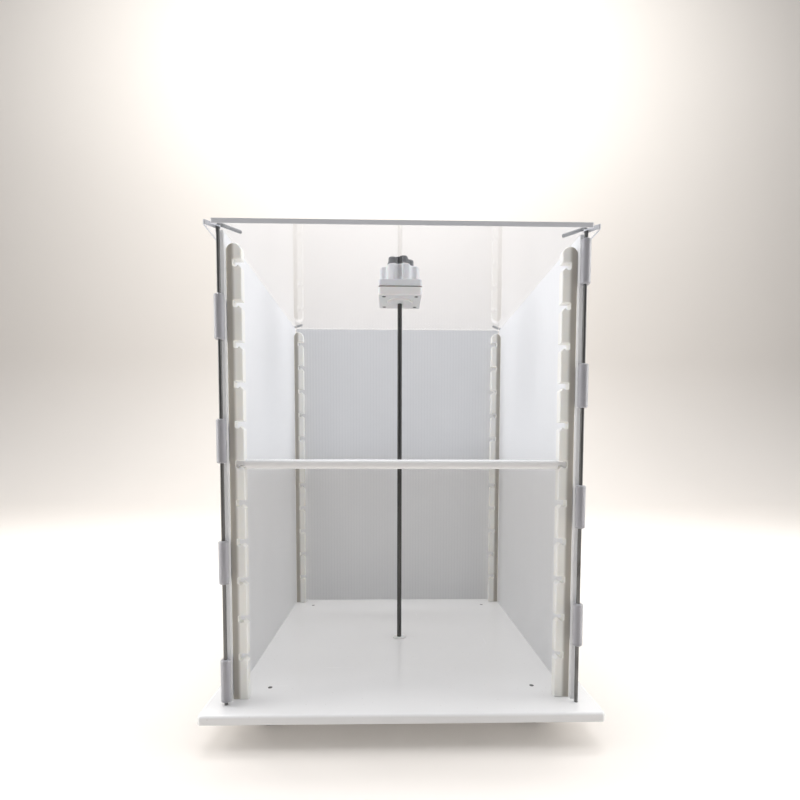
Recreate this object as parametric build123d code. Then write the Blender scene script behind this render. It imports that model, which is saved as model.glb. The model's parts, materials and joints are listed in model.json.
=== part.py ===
from build123d import *
from math import atan2, degrees, sqrt
import os

# Open-front box on a base plate: three fluted walls hung on corner pins, a clear lid held by a
# central tie rod, and a shelf in notched rails. Origin: middle of the footprint, on the surface
# that the feet stand on. The open front faces -Y, +Z is up, and all sizes are in millimetres.

# Feet and base plate
foot_height = 22.0
foot_top_radius = 11.0
foot_bottom_radius = 9.2
foot_reach = 118.0  # middle of the box to a foot's axis, along X and along Y
foot_recess_radius = 4.8
foot_recess_depth = 12.0
foot_edge_round = 1.0
foot_screw_radius = 2.0
foot_screw_head_radius = 3.8
foot_screw_head_height = 2.6
foot_screw_socket = 2.5
base_size = 330.0
base_thickness = 8.0
base_corner_radius = 4.0
base_top_round = 2.4
base_bottom_round = 1.2
floor_z = foot_height + base_thickness

# Hinge pins at the four corners
pin_reach = 147.0  # middle of the box to a pin's axis, along X and along Y
pin_radius = 1.5
pin_running_gap = 0.05
pin_seat_depth = 6.0
pin_arm_length = 20.0
pin_bend_radius = 3.0
pin_end_round = 0.5
moving_gap = 0.3  # faces of different bodies stay this far apart

# Fluted walls: two skins with upright ribs between them, fused along both upright edges
wall_height = 387.4
wall_thickness = 4.0
wall_inner_face = 144.0
wall_width = 285.6
wall_skin = 0.5
wall_rib = 0.7
wall_fused_edge = 11.0
flute_count = 65
wall_middle = wall_inner_face + wall_thickness / 2

# Knuckles: sleeves on the pins, each with a leaf set into the wall's fused edge
knuckle_radius = 4.0
knuckle_length = 35.8
knuckle_chamfer = 0.9
knuckle_pitch = 99.1
knuckles_per_edge = 4
high_knuckle_top = 381.8  # above the floor, on the edges that start high
low_knuckle_top = 336.0  # above the floor, on the edges that start low
leaf_thickness = 2.0
leaf_depth = 8.0
leaf_height = 33.0
leaf_gap = 0.05
leaf_pin_clearance = 1.0

# Notched rails
rail_width = 12.8
rail_thickness = 8.0
rail_height = 379.7
rail_face = 139.0  # middle of the box to the rail's outward face, along Y
rail_edge_round = 1.0
notch_count = 11
notch_pitch = 32.7
top_notch_height = 364.0
notch_depth = 7.2
notch_ceiling = 2.7
notch_hook = -2.9
notch_lip = -0.6
notch_mouth = -4.3
notch_mouth_drop = 0.9
notch_lip_run = 3.8  # closed end of a notch to the crest of its lip
notch_hook_run = 2.9  # closed end of a notch to the far side of its hook
notch_overrun = 1.0  # the cut runs this far past the rail's face
notch_rounds = [0.6, 0.2, 0.2, 1.0, 1.1, 1.3]

# Shelf
shelf_notch = 5  # index of the notch that it hangs in, counted from the top
shelf_thickness = 7.8
shelf_edge_round = 3.2
shelf_side_gap = 0.4
shelf_length = 2 * rail_face
tongue_setback = 2.0
tongue_gap = 0.35
tongue_foot_width = 2.0
tongue_neck_reach = 2.8  # tip of the tongue to where its neck begins
tongue_neck_gap = 0.2  # the neck stays this far below the crest of the lip
tongue_rounds = [0.1, 0.8, 0.9, 0.7, 0.5, 0.1]
rod_slot_width = 10.0

# Clear lid
lid_width = 313.6  # along X
lid_depth = 309.2  # along Y
lid_thickness = 4.0
lid_corner_radius = 3.0
lid_slot_width = 4.0
lid_slot_run = 40.0  # from a pin's axis to well past the lid's corner
lid_mouth_round = 1.2
lid_low = floor_z + wall_height
lid_high = lid_low + lid_thickness

# Tie rod and clamp
rod_radius = 2.5
rod_fit_gap = 0.1
floor_washer_radius = 7.5
floor_washer_thickness = 1.0
bottom_washer_thickness = 1.2
rod_end_chamfer = 0.5
nut_height = 4.7
nut_across_flats = 8.0
nut_chamfer = 0.4
rod_tail = 3.0
block_size = 46.4
block_corner_radius = 3.0
block_edge_round = 1.0
lower_block_height = 8.6
boss_radius = 14.4
boss_height = 2.2
upper_block_height = 7.0
clamp_screw_reach = 17.4
clamp_screw_radius = 1.25
clamp_screw_head_radius = 2.2
clamp_screw_head_height = 2.0
clamp_screw_socket = 1.15
clamp_screw_length = 16.0
hole_gap = 0.2
upper_block_top = lid_high + upper_block_height

# White lobed wheel
wheel_radius = 22.2
wheel_height = 17.3
wheel_lobes = 8
wheel_lobe_angle = -72.0  # direction of one lobe's middle, from +X
wheel_scallop_radius = 5.5
wheel_scallop_depth = 3.3
wheel_edge_round = 1.4
wheel_nut_height = 4.0
wheel_low = upper_block_top + moving_gap
wheel_high = wheel_low + wheel_height

# Black knob
knob_lobes = 5
knob_lobe_angle = -68.0  # direction of one lobe's middle, from +X
knob_lobe_reach = 10.8
knob_lobe_radius = 4.4
knob_core_radius = 11.0
knob_height = 10.6
knob_edge_round = 1.5
knob_skirt_round = 0.6
insert_radius = 4.0
insert_length = 8.0
rod_top_gap = 1.2
knob_low = wheel_high + moving_gap
knob_high = knob_low + knob_height
rod_high = knob_low + insert_length - rod_top_gap


def corners(reach):
    """The four corner positions, named, at one distance from the middle along X and Y."""
    return {
        "front_left": (-reach, -reach),
        "front_right": (reach, -reach),
        "rear_left": (-reach, reach),
        "rear_right": (reach, reach),
    }


def post(radius, low, high, x=0.0, y=0.0):
    """An upright round bar, used both as a piece and as a hole."""
    return Pos(x, y, (low + high) / 2) * Cylinder(radius, high - low)


def hexagon(low, high):
    """An upright hexagonal bar with the nut's size across its flats."""
    outline = RegularPolygon(nut_across_flats / 2, 6, major_radius=False)
    return Pos(0, 0, low) * extrude(outline, high - low)


def hex_nut(low, high, bore):
    nut = hexagon(low, high)
    nut = chamfer(nut.edges().group_by(Axis.Z)[-1], nut_chamfer)
    return nut - post(bore, low, high)


def joined(pieces):
    return Part() + pieces


# ---- base, feet and their screws ----


def base_plate():
    outline = RectangleRounded(base_size, base_size, base_corner_radius)
    plate = Pos(0, 0, foot_height) * extrude(outline, base_thickness)
    plate = fillet(plate.faces().sort_by(Axis.Z)[-1].edges(), base_top_round)
    plate = fillet(plate.faces().sort_by(Axis.Z)[0].edges(), base_bottom_round)
    for x, y in corners(pin_reach).values():
        plate -= post(pin_radius + pin_running_gap, floor_z - pin_seat_depth, floor_z, x, y)
    for x, y in corners(foot_reach).values():
        plate -= post(foot_screw_radius, foot_height, floor_z, x, y)
    return plate - post(rod_radius, foot_height, floor_z)


def foot(x, y):
    cone = Cone(foot_bottom_radius, foot_top_radius, foot_height)
    cone = fillet(cone.edges().sort_by(Axis.Z)[0], foot_edge_round)
    bumper = Pos(x, y, foot_height / 2) * cone
    bumper -= post(foot_recess_radius, 0, foot_recess_depth, x, y)
    return bumper - post(foot_screw_radius, foot_recess_depth, foot_height, x, y)


def foot_screw(x, y):
    head_low = foot_recess_depth - foot_screw_head_height
    screw = post(foot_screw_head_radius, head_low, foot_recess_depth, x, y)
    screw += post(foot_screw_radius, foot_recess_depth, floor_z, x, y)
    socket = RegularPolygon(foot_screw_socket / 2, 6, major_radius=False)
    return screw - Pos(x, y, head_low) * extrude(socket, foot_screw_head_height / 2)


# ---- walls and knuckles, made at the left side and turned to the others ----


def knuckle_heights(first_top):
    """Middles of the knuckles on one wall edge, above the origin."""
    first = floor_z + first_top - knuckle_length / 2
    return [first - i * knuckle_pitch for i in range(knuckles_per_edge)]


def leaf_pocket(z, side):
    depth = leaf_depth + leaf_gap
    y = side * (wall_width - depth) / 2
    return Pos(-wall_middle, y, z) * Box(leaf_thickness + 2 * leaf_gap, depth, leaf_height)


def left_wall():
    pitch = (wall_width - 2 * wall_fused_edge) / flute_count
    flute = Rectangle(wall_thickness - 2 * wall_skin, pitch - wall_rib)
    first = -(flute_count - 1) / 2 * pitch
    flutes = [Pos(0, first + i * pitch) * flute for i in range(flute_count)]
    section = Rectangle(wall_thickness, wall_width) - flutes
    wall = Pos(-wall_middle, 0, floor_z) * extrude(section, wall_height)
    pockets = [leaf_pocket(z, -1) for z in knuckle_heights(low_knuckle_top)]
    pockets += [leaf_pocket(z, 1) for z in knuckle_heights(high_knuckle_top)]
    return wall - pockets


def knuckle(z):
    """A sleeve on the front left pin with its leaf running back into the wall."""
    sleeve = Cylinder(knuckle_radius, knuckle_length)
    sleeve = chamfer(sleeve.edges().filter_by(GeomType.CIRCLE), knuckle_chamfer)
    leaf_start = pin_radius + leaf_pin_clearance
    leaf_end = pin_reach - wall_width / 2 + leaf_depth
    leaf = Box(leaf_thickness, leaf_end - leaf_start, leaf_height)
    sleeve += Pos(pin_reach - wall_middle, (leaf_start + leaf_end) / 2, 0) * leaf
    sleeve -= Cylinder(pin_radius + pin_running_gap, knuckle_length)
    return Pos(-pin_reach, -pin_reach, z) * sleeve


def left_wall_front_knuckles():
    return joined([knuckle(z) for z in knuckle_heights(low_knuckle_top)])


def left_wall_rear_knuckles():
    return mirror(joined([knuckle(z) for z in knuckle_heights(high_knuckle_top)]), Plane.XZ)


def hinge_pin(x, y):
    """A round pin whose top is bent over into an arm that points at the middle of the lid."""
    foot_z = floor_z - pin_seat_depth + moving_gap
    arm_z = lid_high + pin_radius + moving_gap
    path = FilletPolyline((0, 0, foot_z), (0, 0, arm_z), (pin_arm_length, 0, arm_z), radius=pin_bend_radius)
    pin = sweep(Pos(0, 0, foot_z) * Circle(pin_radius), path)
    pin = fillet(pin.edges().sort_by(Axis.X)[-1], pin_end_round)
    return Pos(x, y) * Rot(0, 0, degrees(atan2(-y, -x))) * pin


# ---- rails and shelf: sections drawn with 0 at the wall's face and X growing inwards ----


def notch():
    """One J-shaped notch: a flat ceiling, a hook at its closed end and a sloping lip."""
    closed_end = rail_width - notch_depth
    beyond = rail_width + notch_overrun
    points = [
        (closed_end, notch_ceiling),
        (beyond, notch_ceiling),
        (beyond, notch_mouth - notch_mouth_drop),
        (closed_end + notch_lip_run, notch_lip),
        (closed_end + notch_hook_run, notch_hook),
        (closed_end, notch_hook),
    ]
    return make_face(FilletPolyline(*points, radius=notch_rounds, close=True))


def notch_heights():
    return [top_notch_height - i * notch_pitch for i in range(notch_count)]


def rail_section():
    straight = rail_height - rail_width / 2
    section = Pos(rail_width / 2, straight / 2) * Rectangle(rail_width, straight)
    section += Pos(rail_width / 2, straight) * Circle(rail_width / 2)
    return section - [Pos(0, height) * notch() for height in notch_heights()]


def front_left_rail():
    rail = extrude(Plane.XZ * rail_section(), rail_thickness)
    rail = fillet(rail.faces().filter_by(Axis.Y).edges(), rail_edge_round)
    return Pos(-wall_inner_face, rail_thickness - rail_face, floor_z) * rail


def tongue_section():
    """The shelf's side edge: it follows the notch with a gap and drops behind the lip."""
    root = rail_width + shelf_side_gap
    tip = rail_width - notch_depth + tongue_gap
    top = notch_ceiling - tongue_gap
    neck = notch_lip - tongue_neck_gap
    points = [
        (root, top),
        (tip, top),
        (tip, notch_hook + tongue_gap),
        (tip + tongue_foot_width, notch_hook + tongue_gap),
        (tip + tongue_neck_reach, neck),
        (root, neck),
    ]
    return make_face(FilletPolyline(*points, radius=tongue_rounds, close=True))


def shelf():
    height = floor_z + notch_heights()[shelf_notch]
    inner_edge = wall_inner_face - rail_width - shelf_side_gap
    plate = Box(2 * inner_edge, shelf_length, shelf_thickness)
    plate = fillet(plate.edges().filter_by(Axis.X), shelf_edge_round)
    tongue_length = shelf_length - 2 * tongue_setback
    tongue = extrude(Plane.XZ * tongue_section(), tongue_length / 2, both=True)
    tongue = Pos(-wall_inner_face, 0, 0) * tongue
    plate += tongue
    plate += mirror(tongue, Plane.YZ)
    plate -= Cylinder(rod_slot_width / 2, shelf_thickness)
    plate -= Pos(0, shelf_length / 4, 0) * Box(rod_slot_width, shelf_length / 2, shelf_thickness)
    return Pos(0, 0, height) * plate


# ---- lid ----


def corner_slot(x, y):
    """A slot from the pin's hole out through the lid's corner, along the diagonal."""
    run = Pos(lid_slot_run / 2, 0) * Rectangle(lid_slot_run, lid_slot_width)
    return Pos(x, y) * Rot(0, 0, degrees(atan2(y, x))) * (Circle(lid_slot_width / 2) + run)


def mouth_edges(plate):
    """The upright edges where the corner slots break out of the lid's outline."""

    def at_mouth(edge):
        x, y = abs(edge.center().X), abs(edge.center().Y)
        beside_slot = abs(abs(x - y) - lid_slot_width / sqrt(2)) < 0.1
        return beside_slot and min(x, y) > pin_reach + lid_slot_width / 2

    return plate.edges().filter_by(Axis.Z).filter_by(at_mouth)


def top_plate():
    outline = RectangleRounded(lid_width, lid_depth, lid_corner_radius)
    plate = extrude(outline, lid_thickness)
    plate -= [extrude(corner_slot(x, y), lid_thickness) for x, y in corners(pin_reach).values()]
    plate = Pos(0, 0, lid_low) * fillet(mouth_edges(plate), lid_mouth_round)
    plate -= post(rod_radius + hole_gap, lid_low, lid_high)
    for x, y in corners(clamp_screw_reach).values():
        plate -= post(clamp_screw_radius + hole_gap, lid_low, lid_high, x, y)
    return plate


# ---- tie rod and clamp ----


def tie_rod():
    low = foot_height - bottom_washer_thickness - nut_height - rod_tail
    return chamfer(post(rod_radius, low, rod_high).edges(), rod_end_chamfer)


def washer(low, high):
    return post(floor_washer_radius, low, high) - post(rod_radius, low, high)


def rod_bottom_nut():
    low = foot_height - bottom_washer_thickness - nut_height
    return mirror_in_place(hex_nut(low, low + nut_height, rod_radius), low + nut_height / 2)


def mirror_in_place(piece, middle):
    """The piece turned upside down about its own middle height."""
    return mirror(piece, Plane.XY.offset(middle))


def block(low, high):
    outline = RectangleRounded(block_size, block_size, block_corner_radius)
    return Pos(0, 0, low) * extrude(outline, high - low)


def clamp_lower_block():
    low = lid_low - lower_block_height
    piece = fillet(block(low, lid_low).faces().sort_by(Axis.Z)[0].edges(), block_edge_round)
    piece += post(boss_radius, low - boss_height, low)
    piece -= post(rod_radius + hole_gap, low - boss_height, lid_low)
    for x, y in corners(clamp_screw_reach).values():
        piece -= post(clamp_screw_head_radius, low, low + clamp_screw_head_height, x, y)
        piece -= post(clamp_screw_radius, low, lid_low, x, y)
    return piece


def clamp_upper_block():
    piece = block(lid_high, upper_block_top)
    piece = fillet(piece.faces().sort_by(Axis.Z)[-1].edges(), block_edge_round)
    piece -= post(rod_radius + hole_gap, lid_high, upper_block_top)
    screw_high = lid_low - lower_block_height + clamp_screw_length
    for x, y in corners(clamp_screw_reach).values():
        piece -= post(clamp_screw_radius, lid_high, screw_high, x, y)
    return piece


def clamp_screw(x, y):
    low = lid_low - lower_block_height
    head_high = low + clamp_screw_head_height
    screw = post(clamp_screw_head_radius, low, head_high, x, y)
    screw += post(clamp_screw_radius, head_high, low + clamp_screw_length, x, y)
    socket = RegularPolygon(clamp_screw_socket, 6)
    return screw - Pos(x, y, low) * extrude(socket, clamp_screw_head_height / 2)


# ---- wheel and knob ----


def polar(count, first_angle, reach):
    """Positions at equal angles round the middle."""
    step = 360 / count
    return [Rot(0, 0, first_angle + i * step) * Pos(reach, 0) for i in range(count)]


def lobed_wheel():
    scallop_reach = wheel_radius - wheel_scallop_depth + wheel_scallop_radius
    between = wheel_lobe_angle + 180 / wheel_lobes
    cuts = [spot * Circle(wheel_scallop_radius) for spot in polar(wheel_lobes, between, scallop_reach)]
    outline = Circle(wheel_radius) - cuts
    outline = fillet(outline.vertices(), wheel_edge_round)
    wheel = Pos(0, 0, wheel_low) * extrude(outline, wheel_height)
    wheel = fillet(wheel.faces().sort_by(Axis.Z)[-1].edges(), wheel_edge_round)
    wheel -= post(rod_radius + rod_fit_gap, wheel_low, wheel_high)
    return wheel - hexagon(wheel_high - wheel_nut_height, wheel_high)


def wheel_nut():
    return hex_nut(wheel_high - wheel_nut_height, wheel_high, rod_radius + rod_fit_gap)


def black_knob():
    outline = Circle(knob_core_radius)
    spots = polar(knob_lobes, knob_lobe_angle, knob_lobe_reach)
    outline += [spot * Circle(knob_lobe_radius) for spot in spots]
    outline = fillet(outline.vertices(), knob_edge_round)
    knob = Pos(0, 0, knob_low) * extrude(outline, knob_height)
    knob = fillet(knob.faces().sort_by(Axis.Z)[-1].edges(), knob_edge_round)
    knob = fillet(knob.faces().sort_by(Axis.Z)[0].edges(), knob_skirt_round)
    return knob - post(insert_radius, knob_low, knob_low + insert_length)


def knob_insert():
    bush = post(insert_radius, knob_low, knob_low + insert_length)
    return bush - post(rod_radius + rod_fit_gap, knob_low, rod_high + moving_gap)


def all_parts():
    """Every node's name and shape."""
    quarter_turns = {"left": 0, "right": 180, "rear": -90}
    parts = {"base_plate": base_plate()}
    for corner, (x, y) in corners(foot_reach).items():
        parts["foot_" + corner] = foot(x, y)
    parts["foot_screws"] = joined([foot_screw(x, y) for x, y in corners(foot_reach).values()])
    wall = left_wall()
    for side, angle in quarter_turns.items():
        parts[side + "_wall"] = Rot(0, 0, angle) * wall
    low_set = left_wall_front_knuckles()
    high_set = left_wall_rear_knuckles()
    parts["left_wall_front_knuckles"] = low_set
    parts["left_wall_rear_knuckles"] = high_set
    parts["right_wall_rear_knuckles"] = Rot(0, 0, quarter_turns["right"]) * low_set
    parts["right_wall_front_knuckles"] = Rot(0, 0, quarter_turns["right"]) * high_set
    parts["rear_wall_left_knuckles"] = Rot(0, 0, quarter_turns["rear"]) * low_set
    parts["rear_wall_right_knuckles"] = Rot(0, 0, quarter_turns["rear"]) * high_set
    for corner, (x, y) in corners(pin_reach).items():
        parts["hinge_pin_" + corner] = hinge_pin(x, y)
    rail = front_left_rail()
    parts["front_left_rail"] = rail
    parts["front_right_rail"] = mirror(rail, Plane.YZ)
    parts["rear_left_rail"] = Pos(0, 2 * rail_face - rail_thickness, 0) * rail
    parts["rear_right_rail"] = mirror(parts["rear_left_rail"], Plane.YZ)
    parts["shelf"] = shelf()
    parts["top_plate"] = top_plate()
    parts["tie_rod"] = tie_rod()
    parts["floor_washer"] = washer(floor_z, floor_z + floor_washer_thickness)
    parts["rod_bottom_washer"] = washer(foot_height - bottom_washer_thickness, foot_height)
    parts["rod_bottom_nut"] = rod_bottom_nut()
    parts["clamp_lower_block"] = clamp_lower_block()
    parts["clamp_upper_block"] = clamp_upper_block()
    parts["clamp_screws"] = joined([clamp_screw(x, y) for x, y in corners(clamp_screw_reach).values()])
    parts["lobed_wheel"] = lobed_wheel()
    parts["wheel_nut"] = wheel_nut()
    parts["black_knob"] = black_knob()
    parts["knob_insert"] = knob_insert()
    return parts


os.makedirs("parts", exist_ok=True)
for name, shape in all_parts().items():
    export_step(shape, "parts/" + name + ".step")
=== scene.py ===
import json
import math

import bmesh
import bpy
from mathutils import Matrix, Vector


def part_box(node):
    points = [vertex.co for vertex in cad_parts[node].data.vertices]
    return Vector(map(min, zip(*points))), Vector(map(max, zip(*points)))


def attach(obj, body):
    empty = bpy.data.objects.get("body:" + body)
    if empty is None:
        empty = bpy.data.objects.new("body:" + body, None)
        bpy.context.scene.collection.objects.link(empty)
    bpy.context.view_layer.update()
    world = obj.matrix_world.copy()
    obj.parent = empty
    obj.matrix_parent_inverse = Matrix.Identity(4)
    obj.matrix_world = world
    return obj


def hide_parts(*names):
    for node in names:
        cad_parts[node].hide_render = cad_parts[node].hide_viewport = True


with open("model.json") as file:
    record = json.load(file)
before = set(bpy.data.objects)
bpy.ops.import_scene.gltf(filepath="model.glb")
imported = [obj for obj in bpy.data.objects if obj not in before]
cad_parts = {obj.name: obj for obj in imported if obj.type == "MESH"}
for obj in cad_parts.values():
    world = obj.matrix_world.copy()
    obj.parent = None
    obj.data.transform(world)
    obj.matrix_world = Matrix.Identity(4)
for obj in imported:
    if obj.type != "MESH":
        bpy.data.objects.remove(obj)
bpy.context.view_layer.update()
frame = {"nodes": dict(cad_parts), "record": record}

MM = 0.001
WELD = 0.001 * MM  # points closer together than this are one point

# ---- camera, light and floor ----

CAMERA_PLACE = Vector((-10.3, -530.8, 235.3)) * MM
CAMERA_PITCH = math.radians(-3.06)
CAMERA_YAW = math.radians(-1.18)
CAMERA_ROLL = math.radians(0.11)
CAMERA_LENS = 21.1
CAMERA_SHIFT = 0.1046
CAMERA_SENSOR = 36
CAMERA_NEAR = 0.01

ROOM_FRONT = (0.12, 0.12, 0.12, 1)
ROOM_BACK = (1.0, 1.01, 1.03, 1)
ROOM_STRENGTH = 0.64
FROM_ABOVE = 0.75  # how far light from above is taken from ROOM_FRONT to ROOM_BACK
FROM_BEHIND = 0.35  # the same for light from behind
BOX_MIDDLE = (0, 0, 0.2)
BACKDROP_MIDDLE = (0, 2.6, 1.0)

# Each lamp's name, place, target, width, height, watts and colour.
LAMPS = (
    ("overhead", (0.0, -0.08, 1.75), BOX_MIDDLE, 1.6, 1.2, 8, (1.0, 1.0, 1.02)),
    ("left_side", (-1.4, -0.06, 0.8), BOX_MIDDLE, 0.8, 1.4, 15, (1.0, 0.99, 0.97)),
    ("right_side", (1.4, -0.06, 0.8), BOX_MIDDLE, 0.8, 1.4, 14, (1.0, 0.99, 0.97)),
    ("backdrop_wash", (0.0, 0.9, 3.4), BACKDROP_MIDDLE, 3.6, 0.8, 88, (1.0, 0.99, 0.97)),
)

FLOOR_PALE = (0.86, 0.82, 0.78, 1)
FLOOR_DEEP = (0.83, 0.79, 0.75, 1)
FLOOR_FRONT = -2.6
FLOOR_BACK = 1.7
FLOOR_HALF_WIDTH = 3.2
SWEEP_RADIUS = 0.9
SWEEP_STEPS = 24
BACKDROP_TOP = 6.0


def make_camera():
    camera = bpy.data.objects.new("camera", bpy.data.cameras.new("camera"))
    bpy.context.scene.collection.objects.link(camera)
    camera.data.sensor_width = CAMERA_SENSOR
    camera.data.lens = CAMERA_LENS
    camera.data.shift_y = CAMERA_SHIFT
    camera.data.clip_start = CAMERA_NEAR
    yaw = Matrix.Rotation(CAMERA_YAW, 4, "Z")
    pitch = Matrix.Rotation(math.pi / 2 + CAMERA_PITCH, 4, "X")
    roll = Matrix.Rotation(CAMERA_ROLL, 4, "Z")
    camera.matrix_world = Matrix.Translation(CAMERA_PLACE) @ (yaw @ pitch) @ roll
    bpy.context.scene.camera = camera


def softbox(name, place, target, width, height, power, colour):
    """A rectangular lamp at place, turned to face target, hidden from the camera and from rays
    through glass.
    """
    light = bpy.data.lights.new(name, "AREA")
    light.shape = "RECTANGLE"
    light.size = width
    light.size_y = height
    light.energy = power
    light.color = colour
    lamp = bpy.data.objects.new(name, light)
    bpy.context.scene.collection.objects.link(lamp)
    lamp.visible_camera = False
    lamp.visible_transmission = False
    place = Vector(place)
    turn = (Vector(target) - place).to_track_quat("-Z", "Y").to_matrix().to_4x4()
    lamp.matrix_world = Matrix.Translation(place) @ turn


def light_room():
    """Even pale light from all round, brighter from above and behind than from the front."""
    world = bpy.data.worlds.new("studio")
    bpy.context.scene.world = world
    world.use_nodes = True
    room = Recipe(world.node_tree)
    direction = room.add("ShaderNodeTexCoord", out="Generated")
    axes = room.split(direction)
    upward = room.ramp(axes[2], -0.1, 0.9)
    backward = room.ramp(axes[1], -0.5, 0.7)
    share = upward * FROM_ABOVE + backward * FROM_BEHIND
    sockets = {"Color": room.mix(share, ROOM_FRONT, ROOM_BACK), "Strength": ROOM_STRENGTH}
    background = room.add("ShaderNodeBackground", sockets=sockets)
    room.add("ShaderNodeOutputWorld", sockets={"Surface": background})
    for lamp in LAMPS:
        softbox(*lamp)


def make_floor():
    """A pale floor that sweeps up into a backdrop."""
    profile = [(FLOOR_FRONT, 0.0)]
    for step in range(SWEEP_STEPS + 1):
        angle = step / SWEEP_STEPS * math.pi / 2
        y = FLOOR_BACK + SWEEP_RADIUS * math.sin(angle)
        profile.append((y, SWEEP_RADIUS * (1 - math.cos(angle))))
    profile.append((FLOOR_BACK + SWEEP_RADIUS, BACKDROP_TOP))
    points = [(side * FLOOR_HALF_WIDTH, y, z) for y, z in profile for side in (-1, 1)]
    faces = [(2 * i, 2 * i + 1, 2 * i + 3, 2 * i + 2) for i in range(len(profile) - 1)]
    mesh = bpy.data.meshes.new("floor")
    mesh.from_pydata(points, [], faces)
    mesh.shade_smooth()
    floor = bpy.data.objects.new("floor", mesh)
    bpy.context.scene.collection.objects.link(floor)
    mesh.materials.append(floor_paint())


# ---- node trees, written as expressions ----


class Value:
    """One output of a node. Arithmetic on it adds Math nodes to the same tree."""

    def __init__(self, recipe, socket):
        self.recipe = recipe
        self.socket = socket

    def __add__(self, other):
        return self.recipe.math("ADD", self, other)

    def __radd__(self, other):
        return self.recipe.math("ADD", other, self)

    def __sub__(self, other):
        return self.recipe.math("SUBTRACT", self, other)

    def __rsub__(self, other):
        return self.recipe.math("SUBTRACT", other, self)

    def __mul__(self, other):
        return self.recipe.math("MULTIPLY", self, other)

    def __truediv__(self, other):
        return self.recipe.math("DIVIDE", self, other)

    def __lt__(self, other):
        return self.recipe.math("LESS_THAN", self, other)


class Recipe:
    """A node tree that is being written."""

    def __init__(self, tree):
        self.tree = tree
        self.tree.nodes.clear()

    def add(self, kind, settings=None, sockets=None, out=0):
        """Adds a node: first its settings, then the values or links of its sockets."""
        node = self.tree.nodes.new(kind)
        for name, value in (settings or {}).items():
            setattr(node, name, value)
        for key, value in (sockets or {}).items():
            if isinstance(value, Value):
                self.tree.links.new(value.socket, node.inputs[key])
            else:
                node.inputs[key].default_value = value
        return Value(self, node.outputs[out]) if len(node.outputs) else node

    def math(self, operation, *values):
        return self.add("ShaderNodeMath", {"operation": operation}, dict(enumerate(values)))

    def ramp(self, value, low, high, to_low=0.0, to_high=1.0):
        """A smooth step from to_low, at low, to to_high, at high."""
        sockets = {0: value, 1: low, 2: high, 3: to_low, 4: to_high}
        return self.add("ShaderNodeMapRange", {"interpolation_type": "SMOOTHSTEP"}, sockets)

    def split(self, vector):
        """The X, Y and Z of a vector."""
        first = self.add("ShaderNodeSeparateXYZ", sockets={0: vector})
        return [Value(self, socket) for socket in first.socket.node.outputs]

    def mix(self, share, first, second):
        """A colour between two colours."""
        sockets = {0: share, 6: first, 7: second}
        return self.add("ShaderNodeMix", {"data_type": "RGBA"}, sockets, out=2)

    def combine(self, x, y, z):
        return self.add("ShaderNodeCombineXYZ", sockets={0: x, 1: y, 2: z})


class Former(Recipe):
    """A Geometry Nodes tree that makes a piece, with the piece's sizes as its named inputs."""

    def __init__(self, name, sizes):
        super().__init__(bpy.data.node_groups.new(name, "GeometryNodeTree"))
        sockets = self.tree.interface
        self.identifiers = {}
        for size, value in sizes.items():
            kind = "NodeSocketInt" if isinstance(value, int) else "NodeSocketFloat"
            socket = sockets.new_socket(size, in_out="INPUT", socket_type=kind)
            self.identifiers[size] = socket.identifier
        sockets.new_socket("Geometry", in_out="OUTPUT", socket_type="NodeSocketGeometry")
        self.sizes = sizes

    def size(self, name):
        return self.add("NodeGroupInput", out=name)

    def join(self, *shapes):
        joined = self.add("GeometryNodeJoinGeometry")
        for shape in shapes:
            self.tree.links.new(shape.socket, joined.socket.node.inputs[0])
        return joined

    def finish(self, shape, paint):
        """Ends the tree with a real mesh in its material."""
        real = self.add("GeometryNodeRealizeInstances", sockets={"Geometry": shape})
        dressed = self.add("GeometryNodeSetMaterial", sockets={"Geometry": real, "Material": paint})
        output = self.tree.nodes.new("NodeGroupOutput")
        self.tree.links.new(dressed.socket, output.inputs[0])

    def make(self, name):
        """A piece with the plain mesh that the tree gives, and no modifier left on it."""
        piece = bpy.data.objects.new(name, bpy.data.meshes.new(name))
        bpy.context.scene.collection.objects.link(piece)
        modifier = piece.modifiers.new("form", "NODES")
        modifier.node_group = self.tree
        for size, value in self.sizes.items():
            modifier[self.identifiers[size]] = value
        evaluated = piece.evaluated_get(bpy.context.evaluated_depsgraph_get())
        mesh = bpy.data.meshes.new_from_object(evaluated)
        piece.modifiers.clear()
        piece.data = mesh
        return piece


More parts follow.
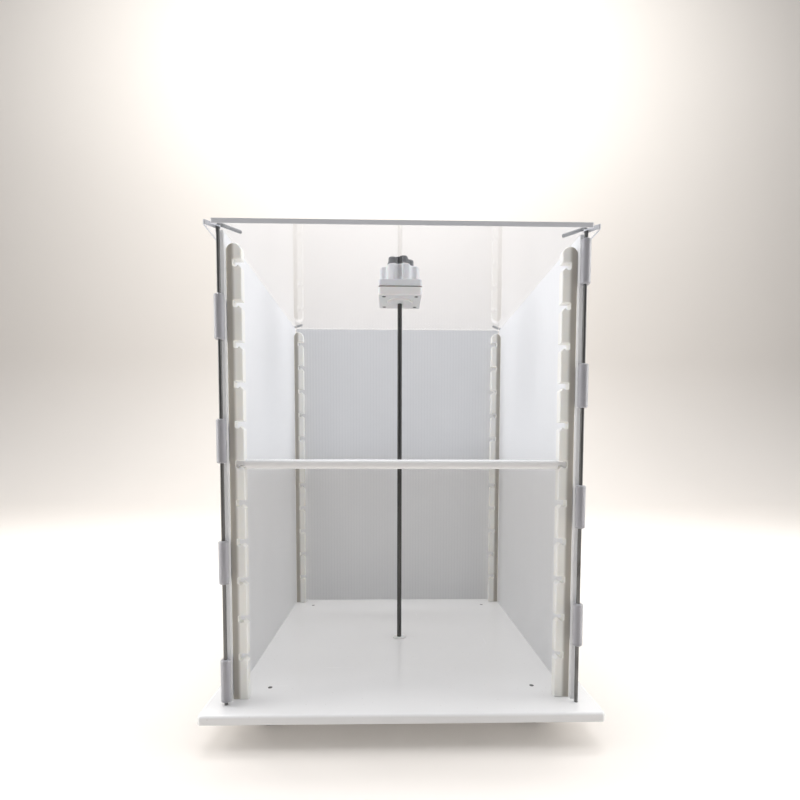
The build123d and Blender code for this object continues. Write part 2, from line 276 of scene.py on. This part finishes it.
class Finish(Recipe):
    """A material with one Principled shader, whose pattern is read in the object's own metres."""

    def __init__(self, name, **constants):
        self.material = bpy.data.materials.new(name)
        self.material.use_nodes = True
        super().__init__(self.material.node_tree)
        self.output = self.tree.nodes.new("ShaderNodeOutputMaterial")
        self.shader = self.add("ShaderNodeBsdfPrincipled")
        self.place = self.add("ShaderNodeTexCoord", out="Object")
        self.show(self.shader)
        for name, value in constants.items():
            self.socket(name).default_value = value

    def socket(self, name):
        return self.shader.socket.node.inputs[name.replace("_", " ")]

    def show(self, shader):
        self.tree.links.new(shader.socket, self.output.inputs["Surface"])

    def drive(self, name, value):
        self.tree.links.new(value.socket, self.socket(name))

    def stretched(self, x, y, z):
        return self.add("ShaderNodeMapping", sockets={"Vector": self.place, "Scale": (x, y, z)})

    def noise(self, scale, detail=2.0, roughness=0.5, at=None):
        """Cloudy noise, with scale in features a metre."""
        sockets = {"Vector": at or self.place, "Scale": scale}
        sockets.update({"Detail": detail, "Roughness": roughness})
        return self.add("ShaderNodeTexNoise", {"noise_dimensions": "3D"}, sockets)

    def specks(self, scale, size):
        """Small round specks: 1 on a speck and 0 elsewhere."""
        sockets = {"Vector": self.place, "Scale": scale, "Randomness": 1.0}
        away = self.add("ShaderNodeTexVoronoi", {"feature": "F1"}, sockets)
        return self.ramp(away, size * 0.4, size, 1.0, 0.0)

    def let_light_through(self, share, colour):
        """That share of the light from lamps and dull surfaces goes straight through each skin."""
        path = self.add("ShaderNodeLightPath", out="Is Shadow Ray")
        dull = Value(self, path.socket.node.outputs["Is Diffuse Ray"])
        passed = self.math("MAXIMUM", path, dull) * share
        through = self.add("ShaderNodeBsdfTransparent", sockets={"Color": colour})
        self.show(self.add("ShaderNodeMixShader", sockets={0: passed, 1: self.shader, 2: through}))

    def facing(self):
        """The X, Y and Z of the direction that the surface faces."""
        return self.split(self.add("ShaderNodeNewGeometry", out="Normal"))

    def relief(self, height, metres, strength):
        """Drives the normal by a height of 0 to 1 that stands for that many metres."""
        sockets = {"Height": height, "Distance": metres, "Strength": strength}
        self.drive("Normal", self.add("ShaderNodeBump", sockets=sockets))


# ---- finishes ----

def floor_paint():
    paint = Finish("floor_paint", Roughness=0.55)
    cloud = paint.noise(1.2, 3.0)
    paint.drive("Base Color", paint.mix(cloud, FLOOR_PALE, FLOOR_DEEP))
    return paint.material


def white_sheet():
    """Solid white sheet: satin skin with a faint pebble, hair scratches and a few dust specks."""
    sheet = Finish("white_sheet", IOR=1.5)
    pebble = sheet.noise(900, 3.0, 0.6)
    cloud = sheet.noise(9, 3.0)
    scratch = sheet.ramp(sheet.noise(60, 4.0, 0.7, sheet.stretched(0.15, 9.0, 3.0)), 0.66, 0.74)
    crossing = sheet.ramp(sheet.noise(50, 4.0, 0.7, sheet.stretched(8.0, 0.2, 3.0)), 0.67, 0.75)
    marks = sheet.math("MAXIMUM", scratch, crossing)
    dust = sheet.specks(130, 0.09)
    tone = sheet.mix(cloud, (0.85, 0.85, 0.86, 1), (0.82, 0.82, 0.825, 1))
    tone = sheet.mix(dust * 0.35, tone, (0.55, 0.52, 0.48, 1))
    sheet.drive("Base Color", tone)
    sheet.drive("Roughness", 0.11 + cloud * 0.07 + marks * 0.18)
    sheet.relief(pebble - marks * 0.6, 0.05 * MM, 0.35)
    sheet.let_light_through(0.45, (1, 0.995, 0.98, 1))
    return sheet.material


def fluted_sheet(pitch):
    """Twin-wall sheet: cloudy white skins, a shade denser over each rib."""
    sheet = Finish("fluted_sheet", IOR=1.49)
    across = sheet.add("ShaderNodeAttribute", {"attribute_name": "across"}, out="Fac")
    wave = sheet.math("COSINE", across * (2 * math.pi / pitch)) * 0.5 + 0.5
    rib = sheet.ramp(wave, 0.55, 1.0)
    cloud = sheet.noise(14, 4.0, 0.55)
    streak = sheet.noise(40, 3.0, 0.6, sheet.stretched(2.0, 2.0, 0.05))
    tone = sheet.mix(cloud, (0.86, 0.87, 0.89, 1), (0.84, 0.85, 0.87, 1))
    tone = sheet.mix(rib * 0.35 + streak * 0.18, tone, (0.76, 0.775, 0.80, 1))
    sheet.drive("Base Color", tone)
    sheet.drive("Roughness", 0.36 + cloud * 0.14)
    sheet.relief(sheet.noise(1400, 2.0) * 0.5 + streak * 0.5, 0.04 * MM, 0.5)
    sheet.let_light_through(0.80, (1, 1, 1, 1))
    return sheet.material


RAIL_GLUED_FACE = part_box("right_wall")[0][0]  # how far out the rails' glued sides are


def rail_plastic():
    """Cut translucent white plastic with fine saw lines; its front ends are painted darker towards
    the wall side, as painted shade.
    """
    rail = Finish("rail_plastic", IOR=1.5, Subsurface_Weight=0.35, Subsurface_Scale=0.006)
    rail.socket("Subsurface Radius").default_value = (1.0, 0.9, 0.75)
    cloud = rail.noise(22, 3.0)
    saw = rail.noise(260, 3.0, 0.6, rail.stretched(1.0, 1.0, 0.12))
    fine = rail.noise(1500, 2.0)
    tone = rail.mix(cloud, (0.90, 0.90, 0.88, 1), (0.87, 0.87, 0.845, 1))
    tone = rail.mix(saw * 0.2, tone, (0.80, 0.80, 0.77, 1))
    # Painted shade: faces that point to the front grow darker towards the wall that the rail stands
    # against.
    inward = RAIL_GLUED_FACE - rail.math("ABSOLUTE", rail.split(rail.place)[0])
    front = rail.ramp(0 - rail.facing()[1], 0.6, 0.95)
    painted_wall_shade = rail.ramp(inward, 4.0 * MM, 7.5 * MM, 1.0, 0.0) * front
    rail.drive("Base Color", rail.mix(painted_wall_shade, tone, (0.43, 0.41, 0.375, 1)))
    rail.drive("Roughness", 0.38 + cloud * 0.10 + saw * 0.08)
    rail.relief(saw * 0.6 + fine * 0.4, 0.05 * MM, 0.5)
    return rail.material


def hinge_plastic():
    """Semi-clear grey tube: cloudy, with flow lines along its length."""
    tube = Finish("hinge_plastic", IOR=1.49, Transmission_Weight=0.55)
    flow = tube.noise(300, 3.0, 0.6, tube.stretched(1.0, 1.0, 0.08))
    cloud = tube.noise(60, 3.0)
    tube.drive("Base Color", tube.mix(cloud, (0.66, 0.66, 0.70, 1), (0.56, 0.56, 0.60, 1)))
    tube.drive("Roughness", 0.24 + flow * 0.14)
    tube.relief(flow, 0.04 * MM, 0.6)
    return tube.material


def drawn_steel(name, bright, dark):
    """Drawn wire or rod: dull steel with fine upright lines and a few darker stains."""
    steel = Finish(name, Metallic=1.0)
    drawn = steel.noise(2600, 2.0, 0.6, steel.stretched(1.0, 1.0, 0.03))
    stain = steel.ramp(steel.noise(45, 5.0, 0.65), 0.50, 0.72)
    tone = steel.mix(drawn, bright, dark)
    steel.drive("Base Color", steel.mix(stain * 0.5, tone, (0.09, 0.083, 0.076, 1)))
    steel.drive("Roughness", 0.26 + drawn * 0.14 + stain * 0.15)
    steel.relief(drawn, 0.02 * MM, 0.4)
    return steel.material


def clear_sheet():
    """Clear polished sheet, faintly blue-grey, that light goes straight through."""
    clear = Finish("clear_sheet", IOR=1.49, Transmission_Weight=1.0)
    smear = clear.ramp(clear.noise(8, 4.0, 0.6), 0.55, 0.8)
    tone = clear.mix(smear * 0.3, (0.925, 0.945, 0.985, 1), (0.90, 0.92, 0.965, 1))
    clear.drive("Base Color", tone)
    clear.drive("Roughness", 0.015 + smear * 0.03)
    clear.let_light_through(1.0, (0.96, 0.965, 0.98, 1))
    return clear.material


def sheet_edge():
    """The lid's sawn edge: frosted blue-grey, with upright saw marks."""
    edge = Finish("sheet_edge", IOR=1.49, Coat_Weight=0.3, Coat_Roughness=0.2)
    saw = edge.noise(900, 3.0, 0.65, edge.stretched(1.0, 1.0, 0.06))
    cloud = edge.noise(25, 3.0)
    tone = edge.mix(cloud, (0.66, 0.675, 0.72, 1), (0.58, 0.595, 0.64, 1))
    edge.drive("Base Color", edge.mix(saw * 0.3, tone, (0.64, 0.65, 0.69, 1)))
    edge.drive("Roughness", 0.30 + saw * 0.25)
    edge.relief(saw, 0.05 * MM, 0.6)
    return edge.material


def clamp_plastic(name, painted_underside_shade):
    """White moulded plastic with a fine spark texture; its downward faces take a darker colour as
    painted shade.
    """
    white = Finish(name, IOR=1.5, Subsurface_Weight=0.15, Subsurface_Scale=0.003)
    grain = white.noise(2200, 2.0, 0.6)
    cloud = white.noise(35, 3.0)
    tone = white.mix(cloud, (0.84, 0.84, 0.84, 1), (0.80, 0.80, 0.80, 1))
    # Painted shade: faces that point down are given the darker colour.
    below = white.ramp(0 - white.facing()[2], 0.7, 0.95)
    white.drive("Base Color", white.mix(below, tone, painted_underside_shade))
    white.drive("Roughness", 0.40 + grain * 0.14)
    white.relief(grain, 0.04 * MM, 0.5)
    return white.material


def black_plastic():
    """Black moulded plastic, fine-grained, rubbed a little paler here and there."""
    black = Finish("black_plastic", IOR=1.5)
    grain = black.noise(2600, 3.0, 0.65)
    rub = black.ramp(black.noise(70, 4.0), 0.5, 0.75)
    black.drive("Base Color", black.mix(rub, (0.018, 0.018, 0.02, 1), (0.045, 0.045, 0.048, 1)))
    black.drive("Roughness", 0.42 + grain * 0.2 - rub * 0.08)
    black.relief(grain, 0.05 * MM, 0.7)
    return black.material


def plated_steel():
    """Dark fasteners with patchy plating, their colour darkened further as painted shade for the
    shadow in their sockets.
    """
    plate = Finish("plated_steel", Metallic=1.0)
    patch = plate.noise(320, 4.0, 0.6)
    fine = plate.noise(3000, 2.0)
    # Partly painted shade: the steel is kept this dark to stand in for the shadow in the heads'
    # sockets.
    plate.drive("Base Color", plate.mix(patch, (0.17, 0.17, 0.175, 1), (0.09, 0.09, 0.09, 1)))
    plate.drive("Roughness", 0.30 + patch * 0.18)
    plate.relief(fine, 0.02 * MM, 0.5)
    return plate.material


def turned_brass():
    brass = Finish("turned_brass", Metallic=1.0)
    turning = brass.noise(2400, 2.0, 0.6, brass.stretched(0.1, 0.1, 1.0))
    tarnish = brass.noise(260, 4.0, 0.6)
    brass.drive("Base Color", brass.mix(tarnish, (0.78, 0.60, 0.30, 1), (0.58, 0.42, 0.20, 1)))
    brass.drive("Roughness", 0.24 + turning * 0.16)
    brass.relief(turning, 0.03 * MM, 0.5)
    return brass.material


def foot_rubber():
    """Dark moulded rubber, dusty on its high spots."""
    rubber = Finish("foot_rubber", IOR=1.5)
    grain = rubber.noise(1300, 4.0, 0.65)
    dust = rubber.ramp(rubber.noise(120, 5.0, 0.7), 0.52, 0.78)
    tone = rubber.mix(dust * 0.6, (0.045, 0.045, 0.045, 1), (0.22, 0.21, 0.20, 1))
    rubber.drive("Base Color", tone)
    rubber.drive("Roughness", 0.72 + dust * 0.18)
    rubber.relief(grain, 0.12 * MM, 0.7)
    return rubber.material


# ---- fluted walls, made at the left side and turned to the others ----

FLUTES = 65
FLUTE_SAMPLES = 8  # points along each skin in one flute
FUSED_EDGE = 11.0 * MM
SKIN = 0.5 * MM
RIB = 0.7 * MM
SINK = 0.07 * MM  # how deep the skins sink between the ribs
FLUTE_CORNER = 0.6 * MM
WALL_CREASE = math.radians(30)
WALL_TURNS = {"left_wall": 0.0, "right_wall": math.pi, "rear_wall": -math.pi / 2}


def wall_sizes():
    """The left wall's sizes, in the order that the tree shows them."""
    low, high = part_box("left_wall")
    return {
        "Thickness": high[0] - low[0],
        "Width": high[1] - low[1],
        "Height": high[2] - low[2],
        "Flutes": FLUTES,
        "Fused Edge": FUSED_EDGE,
        "Skin": SKIN,
        "Rib": RIB,
        "Sink": SINK,
        "Corner": FLUTE_CORNER,
    }


def wall_pitch():
    low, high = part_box("left_wall")
    return (high[1] - low[1] - 2 * FUSED_EDGE) / FLUTES


def wall_outline(form, pitch, reach):
    """The wall's outer outline. Both skins sink a little between the ribs."""
    step = pitch / FLUTE_SAMPLES
    sockets = {
        "Size X": form.size("Thickness"),
        "Size Y": (reach + step) * 2,
        "Vertices X": 2,
        "Vertices Y": form.size("Flutes") * FLUTE_SAMPLES + 3,
    }
    strip = form.add("GeometryNodeMeshGrid", sockets=sockets)
    x, y, z = form.split(form.add("GeometryNodeInputPosition"))
    inside = form.math("ABSOLUTE", y) < reach + step / 2
    sink = 0.5 - form.math("COSINE", (y + reach) / pitch * (2 * math.pi)) * 0.5
    narrowed = x * (1 - inside * sink * form.size("Sink") * 2 / form.size("Thickness"))
    edge = form.math("SIGN", y) * form.size("Width") / 2
    place = form.combine(narrowed, inside * y + (1 - inside) * edge, 0.0)
    strip = form.add("GeometryNodeSetPosition", sockets={"Geometry": strip, "Position": place})
    rim = form.add("GeometryNodeInputMeshEdgeNeighbors") < 1.5
    return form.add("GeometryNodeMeshToCurve", sockets={"Mesh": strip, "Selection": rim})


def wall_flutes(form, pitch, reach):
    """The outlines of the hollow flutes, one in the middle of each pitch."""
    sockets = {
        "Width": form.size("Thickness") - form.size("Skin") * 2,
        "Height": pitch - form.size("Rib"),
    }
    flute = form.add("GeometryNodeCurvePrimitiveQuadrilateral", {"mode": "RECTANGLE"}, sockets)
    sockets = {"Curve": flute, "Count": 3, "Radius": form.size("Corner")}
    flute = form.add("GeometryNodeFilletCurve", {"mode": "POLY"}, sockets)
    sockets = {
        "Count": form.size("Flutes"),
        "Start Location": form.combine(0.0, pitch / 2 - reach, 0.0),
        "Offset": form.combine(0.0, pitch, 0.0),
    }
    spots = form.add("GeometryNodeMeshLine", {"mode": "OFFSET"}, sockets)
    flutes = form.add("GeometryNodeInstanceOnPoints", sockets={"Points": spots, "Instance": flute})
    return form.add("GeometryNodeRealizeInstances", sockets={"Geometry": flutes})


def wall_form(paint):
    """The wall's section, filled, stretched upwards and closed below."""
    form = Former("fluted_wall", wall_sizes())
    fluted_width = form.size("Width") - form.size("Fused Edge") * 2
    pitch = fluted_width / form.size("Flutes")
    reach = fluted_width / 2
    outlines = form.join(wall_outline(form, pitch, reach), wall_flutes(form, pitch, reach))
    section = form.add("GeometryNodeFillCurve", {"mode": "TRIANGLES"}, {"Curve": outlines})
    across = form.split(form.add("GeometryNodeInputPosition"))[1] + reach
    settings = {"data_type": "FLOAT", "domain": "POINT"}
    sockets = {"Geometry": section, "Name": "across", "Value": across}
    section = form.add("GeometryNodeStoreNamedAttribute", settings, sockets)
    rise = form.combine(0.0, 0.0, form.size("Height"))
    sockets = {"Mesh": section, "Offset": rise, "Offset Scale": 1.0, "Individual": False}
    walls = form.add("GeometryNodeExtrudeMesh", {"mode": "FACES"}, sockets)
    below = form.add("GeometryNodeFlipFaces", sockets={"Mesh": section})
    sockets = {"Geometry": form.join(walls, below), "Distance": WELD}
    form.finish(form.add("GeometryNodeMergeByDistance", sockets=sockets), paint)
    return form


def make_walls(paint):
    form = wall_form(paint)
    low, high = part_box("left_wall")
    place = Matrix.Translation(((low[0] + high[0]) / 2, (low[1] + high[1]) / 2, low[2]))
    for node, turn in WALL_TURNS.items():
        wall = form.make(node + "_sheet")
        wall.data.transform(Matrix.Rotation(turn, 4, "Z") @ place)
        wall.data.shade_smooth()
        wall.data.set_sharp_from_angle(angle=WALL_CREASE)
        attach(wall, "housing")
        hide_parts(node)


# ---- clear lid ----

LID_EASE = 0.3 * MM
LID_FLATNESS = math.radians(0.5)  # faces that turn less than this are one face
LID_RIM = math.radians(60)  # an edge that turns more than this is a rim
LID_CREASE = math.radians(25)
LEVEL = 0.99  # upward part of a face's direction, above which the face counts as level


def make_lid(clear, edge):
    """The clear lid with its rims eased, so that they catch the light."""
    mesh = frame["nodes"]["top_plate"].data.copy()
    form = bmesh.new()
    form.from_mesh(mesh)
    bmesh.ops.remove_doubles(form, verts=form.verts, dist=WELD)
    bmesh.ops.dissolve_limit(
        form, angle_limit=LID_FLATNESS, verts=form.verts, edges=form.edges
    )
    rims = [line for line in form.edges if line.calc_face_angle(0.0) > LID_RIM]
    bmesh.ops.bevel(form, geom=rims, offset=LID_EASE, segments=2, profile=0.5, affect="EDGES")
    for face in form.faces:
        face.smooth = abs(face.normal.z) < LEVEL
        face.material_index = 1 if face.smooth else 0
    mesh.materials.clear()
    mesh.materials.append(clear)
    mesh.materials.append(edge)
    form.to_mesh(mesh)
    form.free()
    lid = bpy.data.objects.new("lid_sheet", mesh)
    bpy.context.scene.collection.objects.link(lid)
    mesh.set_sharp_from_angle(angle=LID_CREASE)
    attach(lid, "housing")
    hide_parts("top_plate")


# ---- CAD nodes ----


def dress_cad_nodes(paints):
    """Gives each CAD node the finish of its material slot in the record."""
    for entry in frame["record"]["subparts"]:
        mesh = frame["nodes"][entry["node"]].data
        mesh.materials.clear()
        mesh.materials.append(paints[entry["material_slot"]])


# Painted shade: the grey given to the clamp blocks' downward faces.
PAINTED_SHADE_WHITE = (0.60, 0.60, 0.61, 1)
# Painted shadow: the dark brown given to the upper block's underside, in the gap over the lid.
PAINTED_GAP_SHADOW_BROWN = (0.16, 0.115, 0.085, 1)
PIN_STEEL = (0.22, 0.22, 0.215, 1), (0.12, 0.12, 0.12, 1)
ROD_STEEL = (0.12, 0.12, 0.115, 1), (0.06, 0.06, 0.06, 1)

make_camera()
light_room()
make_floor()
fluted = fluted_sheet(wall_pitch())
clear = clear_sheet()
dress_cad_nodes(
    {
        "white_sheet": white_sheet(),
        "fluted_sheet": fluted,
        "rail_plastic": rail_plastic(),
        "hinge_plastic": hinge_plastic(),
        "pin_steel": drawn_steel("pin_steel", *PIN_STEEL),
        "clear_sheet": clear,
        "clamp_plastic": clamp_plastic("clamp_plastic", PAINTED_SHADE_WHITE),
        "black_plastic": black_plastic(),
        "screw_steel": plated_steel(),
        "brass": turned_brass(),
        "rubber": foot_rubber(),
    }
)
# Two nodes have a finish of their own: the upper block's downward faces carry a brown painted
# shadow, and the rod is a darker steel.
upper_block = frame["nodes"]["clamp_upper_block"].data
upper_block.materials[0] = clamp_plastic("masked_clamp_plastic", PAINTED_GAP_SHADOW_BROWN)
rod = frame["nodes"]["tie_rod"].data
rod.materials[0] = drawn_steel("rod_steel", *ROD_STEEL)
make_walls(fluted)
make_lid(clear, sheet_edge())
bpy.context.scene.view_settings.view_transform = "Standard"
